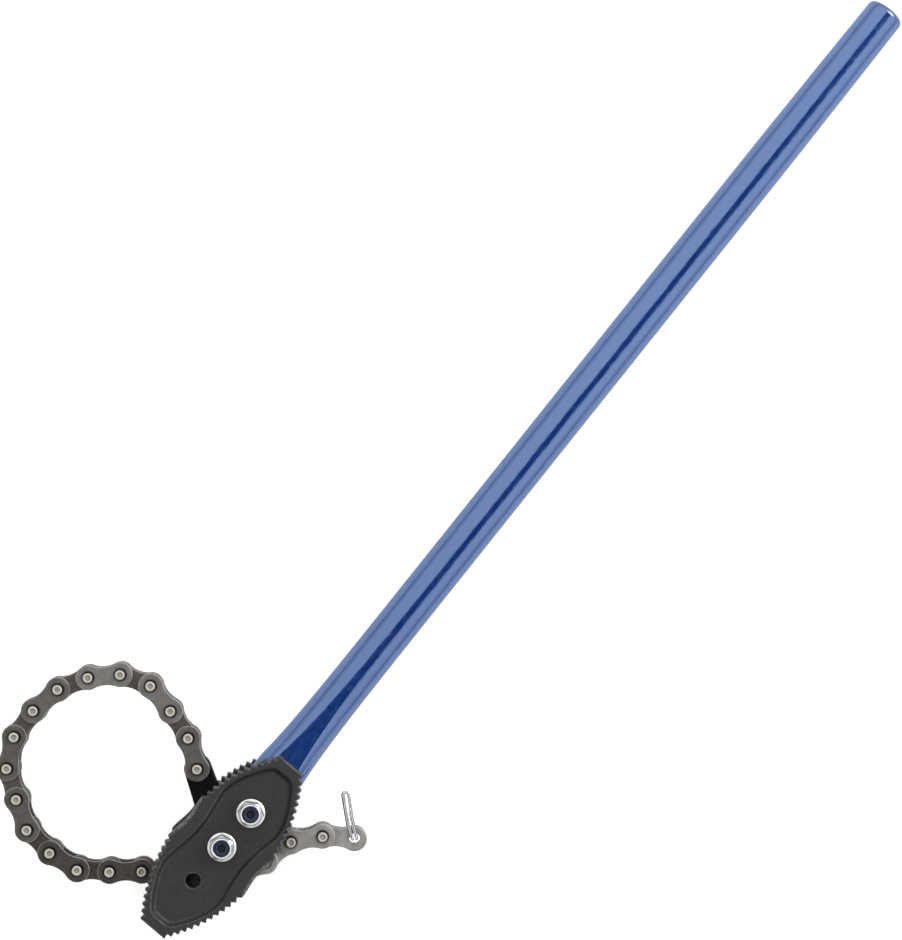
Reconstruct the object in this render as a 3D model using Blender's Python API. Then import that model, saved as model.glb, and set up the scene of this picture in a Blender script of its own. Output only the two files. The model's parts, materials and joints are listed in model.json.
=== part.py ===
"""Chain pipe wrench: a forged handle with a forked, notched head, two reversible
toothed jaw plates, a shackle and twenty-two links of flat-link chain.

Frame: the origin is the outer face of the centre bolt's head, +X runs along the
handle to its far end, +Y is the side on which the chain goes round the pipe, and
+Z points from the bolt heads to the nuts. Lengths are in metres.
"""
import math

import bmesh
import bpy
from mathutils import Matrix, Vector

MM = 0.001

# Clearance between neighbouring pieces
GAP = 0.3 * MM

# Handle
BAR_RADIUS = 12.5 * MM
HANDLE_END = 636.0 * MM
END_RADIUS = 11.8 * MM
END_TAPER = 110.0 * MM
END_ROUNDING = 3.5 * MM
HEAD_RADIUS = 15.2 * MM
HEAD_LENGTH = 56.0 * MM
FLARE_DECAY = 25.0 * MM
FLARE_LENGTH = 75.0 * MM
HEAD_THICKNESS = 25.0 * MM

# Nose of the handle's head: two ears around the centre bolt, each with a lobe
# whose notches take the ends of the chain pins
EAR_RADIUS = 9.5 * MM
NOSE_RADIUS = 16.0 * MM
NOTCH_DEPTH = 1.6 * MM
LOBE_THICKNESS = 3.6 * MM
LOBE_START = math.radians(-70.0)
FORK_ROOT = 17.0 * MM
FORK_ROOT_SLOPE = 1.5
FORK_REACH = 30.0 * MM

# Jaw plates
JAW_HALF_LENGTH = 62.5 * MM
JAW_TIP_HALF_WIDTH = 9.4 * MM
JAW_THICKNESS = 10.0 * MM
JAW_TILT = math.radians(-1.9)
TOOTH_ARC_RADIUS = 100.0 * MM
TOOTH_START = 15.0 * MM
JAW_HALF_WIDTH = 28.3 * MM
JAW_WAIST_DEPTH = 1.6 * MM
JAW_WAIST_HALF_LENGTH = 4.0 * MM
TEETH_PER_ARC = 12
TOOTH_DEPTH = 2.2 * MM
# Shares of a tooth's pitch at which its gullet starts and ends
GULLET = (0.42, 0.62)
PANEL_DEPTH = 2.2 * MM
PANEL_WALL_RUN = 2.3 * MM
PANEL_END = 56.0 * MM
PANEL_END_HALF_WIDTH = 6.6 * MM
PANEL_SHOULDER = (38.0 * MM, 18.3 * MM)
PANEL_WIDEST = (26.5 * MM, 21.4 * MM)
PANEL_CREST_HALF_LENGTH = 4.5 * MM
PANEL_WAIST_HALF_WIDTH = 18.4 * MM
PANEL_WAIST_HALF_LENGTH = 7.0 * MM
BOLT_SPACING = 26.0 * MM
BOLT_HOLE_RADIUS = 4.5 * MM

# Bolts and nuts
BOLT_RADIUS = 4.0 * MM
BOLT_HEAD_FLATS = 13.0 * MM
BOLT_HEAD_HEIGHT = 5.3 * MM
BOLT_TIP_RADIUS = 3.0 * MM
BOLT_TIP_LENGTH = 1.2 * MM
NUT_FLATS = 13.0 * MM
NUT_FLANGE_RADIUS = 8.6 * MM
NUT_FLANGE_HEIGHT = 1.8 * MM
NUT_HEX_HEIGHT = 5.0 * MM
NUT_COLLAR_RADIUS = 6.0 * MM
NUT_COLLAR_HEIGHT = 2.6 * MM
INSERT_WALL = 1.15 * MM
INSERT_HEIGHT = 2.3 * MM

# Chain
PITCH = 19.05 * MM
LINK_HEAD_RADIUS = 7.4 * MM
LINK_WAIST_HALF_WIDTH = 5.4 * MM
LINK_PLATE_THICKNESS = 2.3 * MM
INNER_WIDTH = 7.2 * MM
PIN_RADIUS = 3.0 * MM
PIN_END_LENGTH = 3.7 * MM
PIN_CLEARANCE = 0.35 * MM
BUSH_WALL = 0.95 * MM

# Shackle
SHACKLE_LENGTH = 47.0 * MM
SHACKLE_HEADING = math.radians(57.4)
SHACKLE_END_RADIUS = 8.0 * MM
SHACKLE_HUB_RADIUS = 9.5 * MM

# Split pin in the chain's end hole: its two legs are bent over on the nut side,
# and its long flat eye the same way on the head side
COTTER_SHANK_RADIUS = 2.3 * MM
COTTER_WIRE_WIDTH = 2.1 * MM
COTTER_WIRE_THICKNESS = 1.8 * MM
COTTER_LEG_GAP = 0.3 * MM
COTTER_LONG_LEG = 28.0 * MM
COTTER_SHORT_LEG = 19.0 * MM
COTTER_EYE_WIDTH = 5.4 * MM
COTTER_EYE_LENGTH = 28.0 * MM
COTTER_EYE_SHIFT = 1.2 * MM
COTTER_HEADING = math.radians(48.0)

# How the chain lies: headings of the links round the pipe, from the shackle on
LOOP_HEADINGS = (
    55.0, 71.8, 76.8, 108.1, 133.9, 149.9, 169.7, 182.7,
    205.8, 235.8, 237.7, 263.2, 276.4, 305.5, 309.0,
)
# Pins that pass the nose: how far each stands off the nearest one, in pitches
NOSE_SLACK = 1.6 * MM
NOSE_STANDOFFS = (0.84, 0.24, 0.0, 0.35)
# Headings of the links of the free tail
TAIL_HEADINGS = (346.6, 318.4, 303.0)

# Facets
BAR_SIDES = 28
HEAD_SIDES = 24
HOLE_SIDES = 16
PIN_SIDES = 10
LINK_HEAD_STEPS = 9
LINK_WAIST_STEPS = 3
HUB_STEPS = 14
SHACKLE_END_STEPS = 12
EAR_STEPS = 12
NOTCH_STEPS = 4
FLARE_STEPS = 7
ROUNDING_STEPS = 4
EYE_STEPS = 6
SHARP_ANGLE = math.radians(35.0)

# Heights from the middle plane of the wrench, worked out from the sizes above
HALF_HEAD = HEAD_THICKNESS / 2
JAW_INNER = HALF_HEAD + GAP
JAW_OUTER = JAW_INNER + JAW_THICKNESS
PANEL_FLOOR = JAW_OUTER - PANEL_DEPTH
SEAT = PANEL_FLOOR + GAP
MIDDLE = SEAT + BOLT_HEAD_HEIGHT
INNER_FACE = INNER_WIDTH / 2
INNER_OUTSIDE = INNER_FACE + LINK_PLATE_THICKNESS
OUTER_FACE = INNER_OUTSIDE + GAP
OUTER_OUTSIDE = OUTER_FACE + LINK_PLATE_THICKNESS
PIN_END = OUTER_OUTSIDE + PIN_END_LENGTH
SHACKLE_HALF = INNER_OUTSIDE - GAP / 2
FORK_HALF = SHACKLE_HALF + GAP
BORE_RADIUS = PIN_RADIUS + PIN_CLEARANCE
BUSH_RADIUS = BORE_RADIUS + BUSH_WALL
THREAD_BORE = BOLT_RADIUS + GAP
MARGIN = 5.0 * MM


def material(name, colour, roughness, metallic):
    """A plain Principled material."""
    made = bpy.data.materials.new(name)
    made.use_nodes = True
    shader = made.node_tree.nodes["Principled BSDF"]
    shader.inputs["Base Color"].default_value = (*colour, 1.0)
    shader.inputs["Roughness"].default_value = roughness
    shader.inputs["Metallic"].default_value = metallic
    made.diffuse_color = (*colour, 1.0)
    return made


def circle(radius, sides, centre=(0.0, 0.0)):
    """Points of a circle, anticlockwise."""
    turns = [2 * math.pi * step / sides for step in range(sides)]
    return [(centre[0] + radius * math.cos(turn), centre[1] + radius * math.sin(turn)) for turn in turns]


def arc(radius, start, end, steps, centre=(0.0, 0.0)):
    """Points of an arc with both its ends."""
    turns = [start + (end - start) * step / steps for step in range(steps + 1)]
    return [(centre[0] + radius * math.cos(turn), centre[1] + radius * math.sin(turn)) for turn in turns]


def closed_mesh(mesh):
    """Weld the shells of a mesh and turn its faces outwards."""
    shell = bmesh.new()
    shell.from_mesh(mesh)
    bmesh.ops.remove_doubles(shell, verts=shell.verts, dist=1e-7)
    bmesh.ops.recalc_face_normals(shell, faces=shell.faces)
    shell.to_mesh(mesh)
    shell.free()
    return mesh


def flat_solid(outline, holes, low, high):
    """A plate between two heights, with an outline and round or shaped holes."""
    curve = bpy.data.curves.new("outline", "CURVE")
    curve.dimensions = "2D"
    curve.fill_mode = "BOTH"
    curve.extrude = (high - low) / 2
    for points in (outline, *holes):
        spline = curve.splines.new("POLY")
        spline.points.add(len(points) - 1)
        for knot, (x, y) in zip(spline.points, points):
            knot.co = (x, y, 0.0, 1.0)
        spline.use_cyclic_u = True
    holder = bpy.data.objects.new("outline", curve)
    bpy.context.scene.collection.objects.link(holder)
    mesh = bpy.data.meshes.new_from_object(holder)
    bpy.data.objects.remove(holder)
    bpy.data.curves.remove(curve)
    mesh.transform(Matrix.Translation((0.0, 0.0, (high + low) / 2)))
    return closed_mesh(mesh)


def turned_solid(profile, sides, axis="Z"):
    """A solid turned round Z or X from (along, radius) pairs, ends closed."""
    shell = bmesh.new()
    rings = []
    for along, radius in profile:
        ring = [shell.verts.new((x, y, along)) for x, y in circle(radius, sides)]
        rings.append(ring)
    for lower, upper in zip(rings, rings[1:]):
        for side in range(sides):
            after = (side + 1) % sides
            shell.faces.new((lower[side], lower[after], upper[after], upper[side]))
    shell.faces.new(rings[0])
    shell.faces.new(rings[-1])
    bmesh.ops.recalc_face_normals(shell, faces=shell.faces)
    mesh = bpy.data.meshes.new("turned")
    shell.to_mesh(mesh)
    shell.free()
    if axis == "X":
        mesh.transform(Matrix.Rotation(math.pi / 2, 4, "Y"))
    return mesh


def lofted_solid(lower_outline, upper_outline, low, high):
    """A solid between two outlines with as many points each."""
    shell = bmesh.new()
    lower = [shell.verts.new((x, y, low)) for x, y in lower_outline]
    upper = [shell.verts.new((x, y, high)) for x, y in upper_outline]
    for index in range(len(lower)):
        after = (index + 1) % len(lower)
        shell.faces.new((lower[index], lower[after], upper[after], upper[index]))
    shell.faces.new(lower)
    shell.faces.new(upper)
    bmesh.ops.recalc_face_normals(shell, faces=shell.faces)
    mesh = bpy.data.meshes.new("loft")
    shell.to_mesh(mesh)
    shell.free()
    return mesh


def combined(mesh, other, operation):
    """The union of two meshes, or their difference."""
    base = bpy.data.objects.new("base", mesh)
    tool = bpy.data.objects.new("tool", other)
    for item in (base, tool):
        bpy.context.scene.collection.objects.link(item)
    modifier = base.modifiers.new("cut", "BOOLEAN")
    modifier.operation = operation
    modifier.solver = "EXACT"
    modifier.object = tool
    ready = base.evaluated_get(bpy.context.evaluated_depsgraph_get())
    result = bpy.data.meshes.new_from_object(ready)
    for item in (base, tool):
        bpy.data.objects.remove(item)
    return result


def place(name, mesh, finish, location, turn=0.0):
    """Put a piece in the scene, with its origin on its joint's axis."""
    item = bpy.data.objects.new(name, mesh)
    bpy.context.scene.collection.objects.link(item)
    if not mesh.materials:
        mesh.materials.append(finish)
    mesh.shade_smooth()
    mesh.set_sharp_from_angle(angle=SHARP_ANGLE)
    item.location = location
    item.rotation_euler = (0.0, 0.0, turn)
    return item


def bolt_places():
    """The centre bolt and the upper bolt, which sets the tilt of the jaws."""
    upper = (BOLT_SPACING * math.cos(JAW_TILT), BOLT_SPACING * math.sin(JAW_TILT))
    return {"centre": (0.0, 0.0), "upper": upper}


def pin_spot_radius():
    """Distance from the centre bolt of a pin that sits in a notch of the nose."""
    return NOSE_RADIUS + PIN_RADIUS - NOTCH_DEPTH + GAP


def nose_outline():
    """One lobe of the nose: a disc whose notches stand a chain pitch apart."""
    seat = pin_spot_radius()
    step = 2 * math.asin(PITCH / 2 / seat)
    notch = PIN_RADIUS + GAP
    reach = (NOSE_RADIUS ** 2 + seat ** 2 - notch ** 2) / (2 * NOSE_RADIUS * seat)
    half_mouth = math.acos(reach)
    points = []
    spots = [math.pi - step, math.pi, math.pi + step]
    last = LOBE_START
    for spot in spots:
        start = spot - half_mouth
        points += arc(NOSE_RADIUS, last, start, NOTCH_STEPS)[:-1]
        centre = (seat * math.cos(spot), seat * math.sin(spot))
        entry = (NOSE_RADIUS * math.cos(start), NOSE_RADIUS * math.sin(start))
        leave = (NOSE_RADIUS * math.cos(spot + half_mouth), NOSE_RADIUS * math.sin(spot + half_mouth))
        first = math.atan2(entry[1] - centre[1], entry[0] - centre[0])
        final = math.atan2(leave[1] - centre[1], leave[0] - centre[0])
        if final > first:
            final -= 2 * math.pi
        points += arc(notch, first, final, NOTCH_STEPS, centre)[:-1]
        last = spot + half_mouth
    return points


def handle_mesh():
    """The round bar with its flared, flattened and forked head."""
    flare_end = HEAD_LENGTH + FLARE_LENGTH
    profile = [(0.0, HEAD_RADIUS), (HEAD_LENGTH, HEAD_RADIUS)]
    for step in range(1, FLARE_STEPS + 1):
        along = FLARE_LENGTH * step / FLARE_STEPS
        swell = (HEAD_RADIUS - BAR_RADIUS) * math.exp(-along / FLARE_DECAY)
        profile.append((HEAD_LENGTH + along, BAR_RADIUS + swell))
    profile.append((HANDLE_END - END_TAPER, BAR_RADIUS))
    rounding = arc(END_ROUNDING, 0.0, math.pi / 2, ROUNDING_STEPS)
    for inward, along in ((END_ROUNDING - x, y) for x, y in rounding):
        profile.append((HANDLE_END - END_ROUNDING + along, END_RADIUS - inward))
    body = turned_solid(profile, BAR_SIDES, "X")
    for side in (1, -1):
        flat = flat_solid(
            [(-NOSE_RADIUS, -NOSE_RADIUS * 2), (flare_end - MARGIN, -NOSE_RADIUS * 2),
             (flare_end - MARGIN, NOSE_RADIUS * 2), (-NOSE_RADIUS, NOSE_RADIUS * 2)],
            [], min(side * HALF_HEAD, side * HEAD_THICKNESS), max(side * HALF_HEAD, side * HEAD_THICKNESS))
        body = combined(body, flat, "DIFFERENCE")
    nose = flat_solid(nose_outline(), [], -HALF_HEAD, HALF_HEAD)
    body = combined(body, nose, "UNION")
    relief_half = HALF_HEAD - LOBE_THICKNESS
    ring = arc(EAR_RADIUS, math.pi / 2, 3 * math.pi / 2, EAR_STEPS)
    beyond = NOSE_RADIUS + MARGIN
    relief = flat_solid(
        [*ring, (0.0, -beyond), (-beyond, -beyond), (-beyond, beyond), (0.0, beyond)],
        [], -relief_half, relief_half)
    body = combined(body, relief, "DIFFERENCE")
    mouth = FORK_ROOT + FORK_REACH / FORK_ROOT_SLOPE
    fork = flat_solid(
        [(-beyond, -FORK_REACH), (mouth, -FORK_REACH), (FORK_ROOT, 0.0),
         (mouth, FORK_REACH), (-beyond, FORK_REACH)],
        [], -FORK_HALF, FORK_HALF)
    body = combined(body, fork, "DIFFERENCE")
    for spot in bolt_places().values():
        hole = flat_solid(circle(THREAD_BORE, HOLE_SIDES, spot), [], -HEAD_THICKNESS, HEAD_THICKNESS)
        body = combined(body, hole, "DIFFERENCE")
    return body


def tooth_arc():
    """Teeth of one quarter of a jaw, from the tip to the start of the waist."""
    tip = Vector((JAW_HALF_LENGTH, JAW_TIP_HALF_WIDTH))
    start = Vector((TOOTH_START, JAW_HALF_WIDTH))
    chord = start - tip
    inward = Vector((-chord.y, chord.x)).normalized()
    sagitta = math.sqrt(TOOTH_ARC_RADIUS ** 2 - (chord.length / 2) ** 2)
    centre = (tip + start) / 2 + inward * sagitta
    first = math.atan2(tip.y - centre.y, tip.x - centre.x)
    last = math.atan2(start.y - centre.y, start.x - centre.x)
    crest = TOOTH_ARC_RADIUS
    root = TOOTH_ARC_RADIUS - TOOTH_DEPTH
    points = []
    for tooth in range(TEETH_PER_ARC):
        for share, radius in ((0.0, crest), (GULLET[0], root), (GULLET[1], root)):
            turn = first + (last - first) * (tooth + share) / TEETH_PER_ARC
            points.append((centre.x + radius * math.cos(turn), centre.y + radius * math.sin(turn)))
    points.append((start.x, start.y))
    return points


def four_quarters(quarter):
    """A closed outline from the points of its first quarter, +x end first."""
    upper = quarter + [(-x, y) for x, y in reversed(quarter)]
    return upper + [(-x, -y) for x, y in upper]


def panel_outline(inset):
    """The sunk panel of a jaw, drawn in by an amount."""
    quarter = [
        (PANEL_END - inset, PANEL_END_HALF_WIDTH - inset / 2),
        (PANEL_SHOULDER[0] - inset, PANEL_SHOULDER[1] - inset),
        (PANEL_WIDEST[0] + PANEL_CREST_HALF_LENGTH, PANEL_WIDEST[1] - inset),
        (PANEL_WIDEST[0] - PANEL_CREST_HALF_LENGTH, PANEL_WIDEST[1] - inset),
        (PANEL_WAIST_HALF_LENGTH, PANEL_WAIST_HALF_WIDTH - inset),
    ]
    return four_quarters(quarter)


def jaw_mesh():
    """A jaw plate lying with its inner face down at the height of the inner face."""
    quarter = tooth_arc() + [(JAW_WAIST_HALF_LENGTH, JAW_HALF_WIDTH - JAW_WAIST_DEPTH)]
    holes = [
        circle(BOLT_HOLE_RADIUS, HOLE_SIDES, (spot, 0.0))
        for spot in (-BOLT_SPACING, 0.0, BOLT_SPACING)
    ]
    plate = flat_solid(four_quarters(quarter), holes, JAW_INNER, JAW_OUTER)
    slope = PANEL_WALL_RUN / PANEL_DEPTH
    panel = lofted_solid(
        panel_outline(PANEL_WALL_RUN), panel_outline(-slope * MARGIN), PANEL_FLOOR, JAW_OUTER + MARGIN)
    return combined(plate, panel, "DIFFERENCE")


def bolt_mesh():
    """A hexagon bolt, head at the bottom, in heights from the middle plane."""
    corner = BOLT_HEAD_FLATS / 2 / math.cos(math.pi / 6)
    head = flat_solid(circle(corner, 6), [], -SEAT - BOLT_HEAD_HEIGHT, -SEAT)
    tip_start = nut_levels()["insert"] - GAP
    shank = turned_solid(
        [(-SEAT - BOLT_HEAD_HEIGHT / 2, BOLT_RADIUS), (tip_start, BOLT_RADIUS),
         (tip_start, BOLT_TIP_RADIUS), (tip_start + BOLT_TIP_LENGTH, BOLT_TIP_RADIUS)], HOLE_SIDES)
    return combined(head, shank, "UNION")


def nut_levels():
    """Heights of a nut's flange, hexagon, insert and top."""
    hexagon = SEAT + NUT_FLANGE_HEIGHT
    collar = hexagon + NUT_HEX_HEIGHT
    top = collar + NUT_COLLAR_HEIGHT
    return {"hexagon": hexagon, "collar": collar, "top": top, "insert": top - INSERT_HEIGHT}


def nut_mesh():
    """A flange nut with a collar that holds a nylon ring."""
    levels = nut_levels()
    corner = NUT_FLATS / 2 / math.cos(math.pi / 6)
    flange = turned_solid([(SEAT, NUT_FLANGE_RADIUS), (levels["hexagon"], NUT_FLANGE_RADIUS)], HEAD_SIDES)
    body = flat_solid(circle(corner, 6), [], levels["hexagon"] - NUT_FLANGE_HEIGHT / 2, levels["collar"])
    collar = turned_solid(
        [(levels["collar"] - NUT_HEX_HEIGHT / 2, NUT_COLLAR_RADIUS), (levels["top"], NUT_COLLAR_RADIUS)],
        HOLE_SIDES)
    nut = combined(combined(flange, body, "UNION"), collar, "UNION")
    bore = turned_solid([(SEAT - MARGIN, THREAD_BORE), (levels["top"] + MARGIN, THREAD_BORE)], HOLE_SIDES)
    seat_radius = BOLT_TIP_RADIUS + GAP + INSERT_WALL + GAP
    seat = turned_solid(
        [(levels["insert"] - GAP, seat_radius), (levels["top"] + MARGIN, seat_radius)], HOLE_SIDES)
    return combined(combined(nut, bore, "DIFFERENCE"), seat, "DIFFERENCE")


def insert_mesh():
    """The nylon ring in a nut's collar."""
    levels = nut_levels()
    bore = BOLT_TIP_RADIUS + GAP
    return flat_solid(
        circle(bore + INSERT_WALL, HOLE_SIDES), [circle(bore, HOLE_SIDES)], levels["insert"], levels["top"])


def shackle_mesh():
    """The tapered shackle, its hub at the origin and its small end along +X."""
    lean = math.asin((SHACKLE_HUB_RADIUS - SHACKLE_END_RADIUS) / SHACKLE_LENGTH)
    square = math.pi / 2 - lean
    hub = arc(SHACKLE_HUB_RADIUS, square, 2 * math.pi - square, HUB_STEPS)
    end = arc(SHACKLE_END_RADIUS, -square, square, SHACKLE_END_STEPS, (SHACKLE_LENGTH, 0.0))
    holes = [
        circle(THREAD_BORE, HOLE_SIDES),
        circle(BORE_RADIUS, PIN_SIDES, (SHACKLE_LENGTH, 0.0)),
    ]
    return flat_solid(hub + end, holes, -SHACKLE_HALF, SHACKLE_HALF)


def link_outline():
    """A link plate from the origin to one pitch along +X, drawn in at its waist."""
    half = PITCH / 2
    drawn = LINK_HEAD_RADIUS - LINK_WAIST_HALF_WIDTH
    waist = (half ** 2 + LINK_WAIST_HALF_WIDTH ** 2 - LINK_HEAD_RADIUS ** 2) / (2 * drawn)
    rise = LINK_WAIST_HALF_WIDTH + waist
    meet = math.atan2(rise, half)
    near = arc(LINK_HEAD_RADIUS, meet, 2 * math.pi - meet, LINK_HEAD_STEPS)
    far = arc(LINK_HEAD_RADIUS, meet - math.pi, math.pi - meet, LINK_HEAD_STEPS, (PITCH, 0.0))
    below = arc(waist, math.pi - meet, meet, LINK_WAIST_STEPS, (half, -rise))[1:-1]
    above = arc(waist, -meet, meet - math.pi, LINK_WAIST_STEPS, (half, rise))[1:-1]
    return near + below + far + above


def cover_mesh(low, high, hole_radius):
    """The nut-side plate of a link, with the holes for its pins or bushes."""
    holes = [circle(hole_radius, PIN_SIDES), circle(hole_radius, PIN_SIDES, (PITCH, 0.0))]
    return flat_solid(link_outline(), holes, low, high)


def pin_link_mesh():
    """The head-side plate of an outer link with its two riveted pins."""
    body = flat_solid(link_outline(), [], -OUTER_OUTSIDE, -OUTER_FACE)
    for along in (0.0, PITCH):
        pin = flat_solid(circle(PIN_RADIUS, PIN_SIDES, (along, 0.0)), [], -PIN_END, PIN_END)
        body = combined(body, pin, "UNION")
    return body


def bush_link_mesh():
    """The head-side plate of an inner link with its two bushes."""
    body = flat_solid(link_outline(), [], -INNER_OUTSIDE, -INNER_FACE)
    middle = -(INNER_OUTSIDE + INNER_FACE) / 2
    for along in (0.0, PITCH):
        bush = flat_solid(circle(BUSH_RADIUS, PIN_SIDES, (along, 0.0)), [], middle, INNER_OUTSIDE)
        bore = flat_solid(circle(BORE_RADIUS, PIN_SIDES, (along, 0.0)), [], -PIN_END, PIN_END)
        body = combined(combined(body, bush, "UNION"), bore, "DIFFERENCE")
    return body


def slot_outline(length, width):
    """A long round-ended outline, its near end round the origin."""
    radius = width / 2
    far = arc(radius, -math.pi / 2, math.pi / 2, EYE_STEPS, (length - width, 0.0))
    near = arc(radius, math.pi / 2, 3 * math.pi / 2, EYE_STEPS)
    return [(x, y + COTTER_EYE_SHIFT) for x, y in far + near]


def cotter_mesh():
    """The split pin: an eye on the head side, legs through the hole and bent over."""
    front = INNER_OUTSIDE + GAP
    tip = front + COTTER_WIRE_THICKNESS
    back = -front - COTTER_WIRE_THICKNESS
    body = flat_solid(circle(COTTER_SHANK_RADIUS, PIN_SIDES), [], back, tip)
    near = COTTER_LEG_GAP / 2
    far = near + COTTER_WIRE_WIDTH
    for side, length in ((1, COTTER_LONG_LEG), (-1, COTTER_SHORT_LEG)):
        corners = [(0.0, near), (length, near), (length - COTTER_WIRE_WIDTH / 2, far), (0.0, far)]
        leg = flat_solid([(x, side * y) for x, y in corners], [], front, tip)
        body = combined(body, leg, "UNION")
    bore_width = COTTER_EYE_WIDTH - 2 * COTTER_WIRE_WIDTH
    bore_length = COTTER_EYE_LENGTH - 2 * COTTER_WIRE_WIDTH
    eye = flat_solid(
        slot_outline(COTTER_EYE_LENGTH, COTTER_EYE_WIDTH), [slot_outline(bore_length, bore_width)],
        back, -front)
    return combined(body, eye, "UNION")


def nose_pin(previous, distance):
    """The next pin, a pitch on and at a distance from the centre bolt."""
    reach = math.hypot(*previous)
    along = (reach ** 2 + distance ** 2 - PITCH ** 2) / (2 * reach)
    across = math.sqrt(distance ** 2 - along ** 2)
    unit = (previous[0] / reach, previous[1] / reach)
    return (unit[0] * along - unit[1] * across, unit[1] * along + unit[0] * across)


def chain_pins():
    """Centres of the twenty-two pins and of the end hole, from the shackle on."""
    pins = [(SHACKLE_LENGTH * math.cos(SHACKLE_HEADING), SHACKLE_LENGTH * math.sin(SHACKLE_HEADING))]

    def step(heading):
        turn = math.radians(heading)
        pins.append((pins[-1][0] + PITCH * math.cos(turn), pins[-1][1] + PITCH * math.sin(turn)))

    for heading in LOOP_HEADINGS:
        step(heading)
    nearest = NOSE_RADIUS + PIN_RADIUS + NOSE_SLACK
    for standoff in NOSE_STANDOFFS:
        pins.append(nose_pin(pins[-1], nearest + standoff * PITCH))
    for heading in TAIL_HEADINGS:
        step(heading)
    return pins


def build_head(paint, jaw_finish, zinc, nylon):
    """The handle, the jaws and the two bolts with their nuts."""
    place("handle", handle_mesh(), paint, (0.0, 0.0, MIDDLE))
    jaw = jaw_mesh()
    place("jaw_front", jaw, jaw_finish, (0.0, 0.0, MIDDLE), JAW_TILT)
    back = place("jaw_back", jaw, jaw_finish, (0.0, 0.0, MIDDLE), JAW_TILT)
    back.rotation_euler.x = math.pi
    bolt, nut, insert = bolt_mesh(), nut_mesh(), insert_mesh()
    for name, (x, y) in bolt_places().items():
        spot = (x, y, MIDDLE)
        place(name + "_bolt", bolt, zinc, spot)
        place(name + "_nut", nut, zinc, spot)
        place(name + "_nut_insert", insert, nylon, spot)


def build_chain(steel, shackle_finish):
    """The shackle, the links one after another, and the split pin at the end."""
    place("shackle", shackle_mesh(), shackle_finish, (0.0, 0.0, MIDDLE), SHACKLE_HEADING)
    pin_link, bush_link = pin_link_mesh(), bush_link_mesh()
    outer_cover = cover_mesh(OUTER_FACE, OUTER_OUTSIDE, PIN_RADIUS + GAP)
    inner_cover = cover_mesh(INNER_FACE, INNER_OUTSIDE, BUSH_RADIUS + GAP)
    pins = chain_pins()
    for index, (here, after) in enumerate(zip(pins, pins[1:]), start=1):
        outer = index % 2 == 1
        turn = math.atan2(after[1] - here[1], after[0] - here[0])
        spot = (*here, MIDDLE)
        base = pin_link if outer else bush_link
        cover = outer_cover if outer else inner_cover
        label = f"link_{index:02d}"
        place(label + ("_pin_plate" if outer else "_bush_plate"), base, steel, spot, turn)
        place(label + "_cover_plate", cover, steel, spot, turn)
    place("cotter", cotter_mesh(), steel, (*pins[-1], MIDDLE), COTTER_HEADING)


def main():
    for item in list(bpy.data.objects):
        bpy.data.objects.remove(item)
    paint = material("blue paint", (0.0, 0.07, 0.45), 0.25, 0.0)
    jaw_finish = material("black oxide steel", (0.05, 0.05, 0.055), 0.45, 0.8)
    shackle_finish = material("black shackle", (0.02, 0.02, 0.02), 0.4, 0.5)
    steel = material("chain steel", (0.35, 0.33, 0.31), 0.4, 0.9)
    zinc = material("zinc", (0.75, 0.75, 0.76), 0.25, 1.0)
    nylon = material("nylon", (0.02, 0.05, 0.25), 0.5, 0.0)
    build_head(paint, jaw_finish, zinc, nylon)
    build_chain(steel, shackle_finish)


main()
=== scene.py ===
"""Looks of the chain pipe wrench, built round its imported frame.

Lengths are in metres in the frame's axes: +X along the handle to its far end, +Y to the
side on which the chain goes round the pipe, +Z from the bolt heads to the nuts.
"""
import math

import bmesh
import bpy
import numpy as np
from mathutils import Matrix, Vector
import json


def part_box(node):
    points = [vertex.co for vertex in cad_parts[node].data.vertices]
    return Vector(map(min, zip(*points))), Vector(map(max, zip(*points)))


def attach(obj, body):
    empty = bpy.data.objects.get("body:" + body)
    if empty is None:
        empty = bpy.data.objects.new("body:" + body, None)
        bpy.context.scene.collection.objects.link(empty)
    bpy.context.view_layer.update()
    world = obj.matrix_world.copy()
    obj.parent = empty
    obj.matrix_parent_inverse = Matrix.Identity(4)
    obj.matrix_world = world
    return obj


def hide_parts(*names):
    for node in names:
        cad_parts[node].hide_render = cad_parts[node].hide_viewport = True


MM = 0.001

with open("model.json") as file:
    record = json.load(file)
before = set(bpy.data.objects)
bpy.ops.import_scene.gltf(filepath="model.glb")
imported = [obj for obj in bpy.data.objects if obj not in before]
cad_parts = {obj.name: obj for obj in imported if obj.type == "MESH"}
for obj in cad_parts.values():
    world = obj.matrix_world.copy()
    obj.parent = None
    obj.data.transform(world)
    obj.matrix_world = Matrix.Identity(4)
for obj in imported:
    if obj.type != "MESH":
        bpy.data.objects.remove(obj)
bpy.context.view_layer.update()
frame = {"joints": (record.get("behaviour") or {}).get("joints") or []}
JOINTS = {joint["name"]: joint for joint in frame["joints"]}
MIDDLE = JOINTS["shackle_swing"]["pos_m"][2]


def levels(node):
    """Lowest and highest height of a node, from the middle plane of the wrench."""
    low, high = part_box(node)
    return low.z - MIDDLE, high.z - MIDDLE


def centre(node):
    """Middle of a node in plan."""
    low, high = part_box(node)
    return (low.x + high.x) / 2, (low.y + high.y) / 2


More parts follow.
